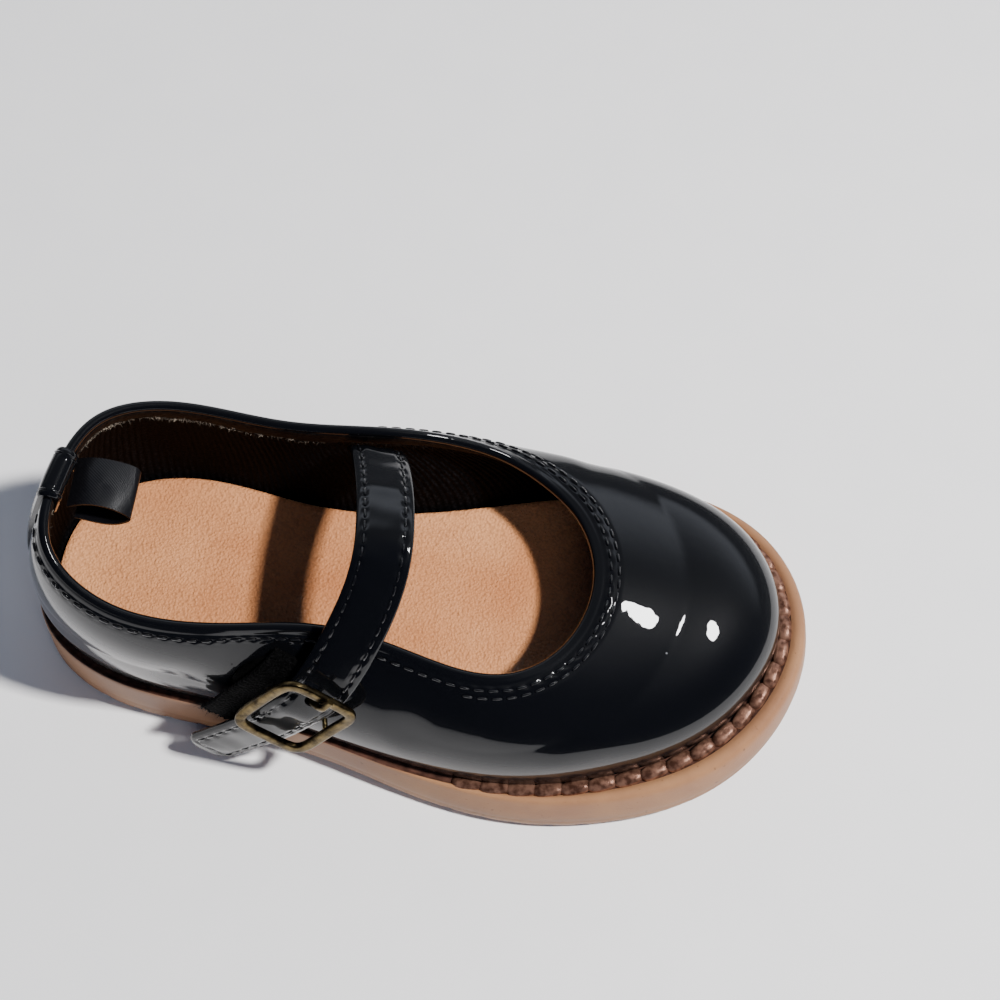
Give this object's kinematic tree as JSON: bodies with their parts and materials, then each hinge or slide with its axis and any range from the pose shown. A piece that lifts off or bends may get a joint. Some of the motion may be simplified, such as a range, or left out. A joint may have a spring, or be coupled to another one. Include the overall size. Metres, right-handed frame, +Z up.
{
  "type": "mary jane shoe",
  "caption": "Child's right mary jane shoe in black patent with an instep strap, a buckle on the outer side and a rubber unit sole.",
  "frame": {"origin": "middle of the whole shoe's box, on the floor under the sole", "axes": "+X from heel to toe, +Y to the inner (medial) side, +Z up"},
  "size_m": [0.1564, 0.0754, 0.0518],
  "materials": {
    "sole_rubber": "moulded tan gum rubber, satin",
    "insole_leather": "tan pebbled leather",
    "patent_leather": "black patent, high gloss",
    "tape_fabric": "black hook and loop tape",
    "lining_fabric": "black ribbed lining",
    "ribbon": "black satin ribbon",
    "thread": "black waxed thread",
    "brass": "antique brass, worn"
  },
  "bodies": {
    "root": {"outsole": "sole_rubber", "insole": "insole_leather", "upper": "patent_leather", "heel_strip": "patent_leather", "strap": "patent_leather", "loop_patch": "tape_fabric", "hook_tape": "tape_fabric", "buckle_frame": "brass", "buckle_prong": "brass", "pull_loop": "ribbon"}
  },
  "joints": []
}
